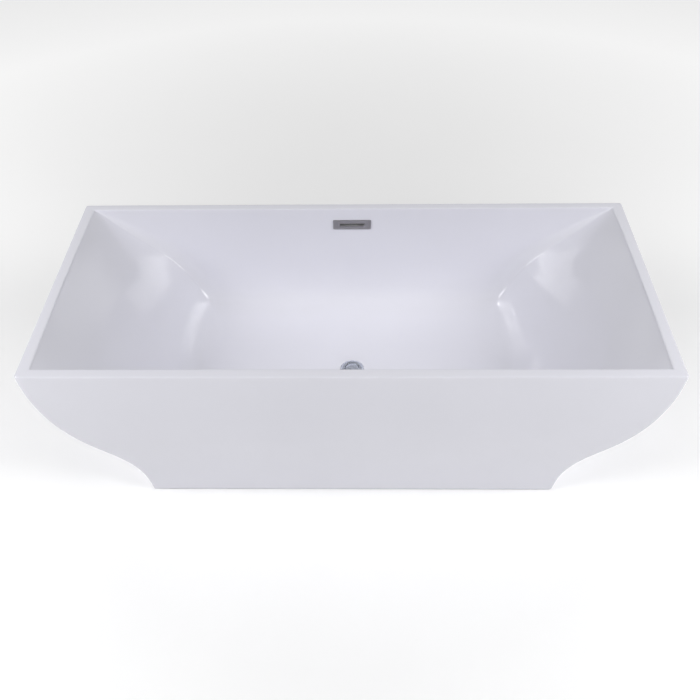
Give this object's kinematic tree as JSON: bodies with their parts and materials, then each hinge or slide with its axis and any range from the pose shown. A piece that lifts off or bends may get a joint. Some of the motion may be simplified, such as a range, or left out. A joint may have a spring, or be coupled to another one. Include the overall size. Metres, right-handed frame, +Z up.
{
  "type": "freestanding bathtub",
  "caption": "Rectangular double-ended freestanding bathtub with a flat square rim, an S-curved skirt narrowing to the floor, a centre waste with lifting plug and a slotted overflow.",
  "frame": {"origin": "centre of the tub's footprint, at the level of the floor its feet stand on", "axes": "+X along the length, +Y towards the long wall with the overflow, +Z up"},
  "size_m": [1.7, 0.75, 0.58],
  "materials": {
    "white_acrylic": "high gloss, cast sanitary acrylic",
    "plywood": "raw birch plywood",
    "painted_steel": "satin powder coat",
    "zinc_steel": "zinc plated",
    "black_rubber": "matt",
    "chrome": "polished",
    "satin_chrome": "satin",
    "grey_plastic": "matt",
    "fitting_plastic": "matt polypropylene",
    "hose_plastic": "flexible, matt",
    "brass": "machined"
  },
  "bodies": {
    "tub": {"base_board": "plywood", "basin": "white_acrylic", "board_screws": "zinc_steel", "compression_nut": "fitting_plastic", "compression_washer": "black_rubber", "crossbar_left": "painted_steel", "crossbar_middle_left": "painted_steel", "crossbar_middle_right": "painted_steel", "crossbar_right": "painted_steel", "drain_body": "fitting_plastic", "drain_flange": "chrome", "drain_gasket_lower": "black_rubber", "drain_gasket_upper": "black_rubber", "foot_jam_nuts": "zinc_steel", "foot_weld_nuts": "zinc_steel", "hose_clamp_lower": "zinc_steel", "hose_clamp_upper": "zinc_steel", "outlet_pipe": "fitting_plastic", "overflow_body": "fitting_plastic", "overflow_gasket": "black_rubber", "overflow_hose": "hose_plastic", "overflow_plate": "satin_chrome", "overflow_sleeve": "grey_plastic", "plug_guide": "brass", "rail_back": "painted_steel", "rail_front": "painted_steel", "skirt": "white_acrylic", "skirt_blocks_left": "plywood", "skirt_blocks_right": "plywood", "skirt_brackets_left": "zinc_steel", "skirt_brackets_right": "zinc_steel", "skirt_screws_back": "zinc_steel", "skirt_screws_front": "zinc_steel"},
    "plug": {"plug_cap": "chrome", "plug_seal": "black_rubber", "plug_stem": "brass"},
    "foot_front_left": {"foot_rod_front_left": "zinc_steel", "foot_pad_front_left": "black_rubber"},
    "foot_front_right": {"foot_rod_front_right": "zinc_steel", "foot_pad_front_right": "black_rubber"},
    "foot_back_left": {"foot_rod_back_left": "zinc_steel", "foot_pad_back_left": "black_rubber"},
    "foot_back_right": {"foot_rod_back_right": "zinc_steel", "foot_pad_back_right": "black_rubber"},
    "foot_middle_left": {"foot_rod_middle_left": "zinc_steel", "foot_pad_middle_left": "black_rubber"},
    "foot_middle_right": {"foot_rod_middle_right": "zinc_steel", "foot_pad_middle_right": "black_rubber"}
  },
  "joints": [
    {"name": "plug_lift", "type": "slide", "parent": "tub", "child": "plug", "axis": [0, 0, 1], "range_m": [0, 0.009]},
    {"name": "foot_level_front_left", "type": "slide", "parent": "tub", "child": "foot_front_left", "axis": [0, 0, -1], "range_m": [0, 0.02]},
    {"name": "foot_level_front_right", "type": "slide", "parent": "tub", "child": "foot_front_right", "axis": [0, 0, -1], "range_m": [0, 0.02]},
    {"name": "foot_level_back_left", "type": "slide", "parent": "tub", "child": "foot_back_left", "axis": [0, 0, -1], "range_m": [0, 0.02]},
    {"name": "foot_level_back_right", "type": "slide", "parent": "tub", "child": "foot_back_right", "axis": [0, 0, -1], "range_m": [0, 0.02]},
    {"name": "foot_level_middle_left", "type": "slide", "parent": "tub", "child": "foot_middle_left", "axis": [0, 0, -1], "range_m": [0, 0.02]},
    {"name": "foot_level_middle_right", "type": "slide", "parent": "tub", "child": "foot_middle_right", "axis": [0, 0, -1], "range_m": [0, 0.02]}
  ]
}
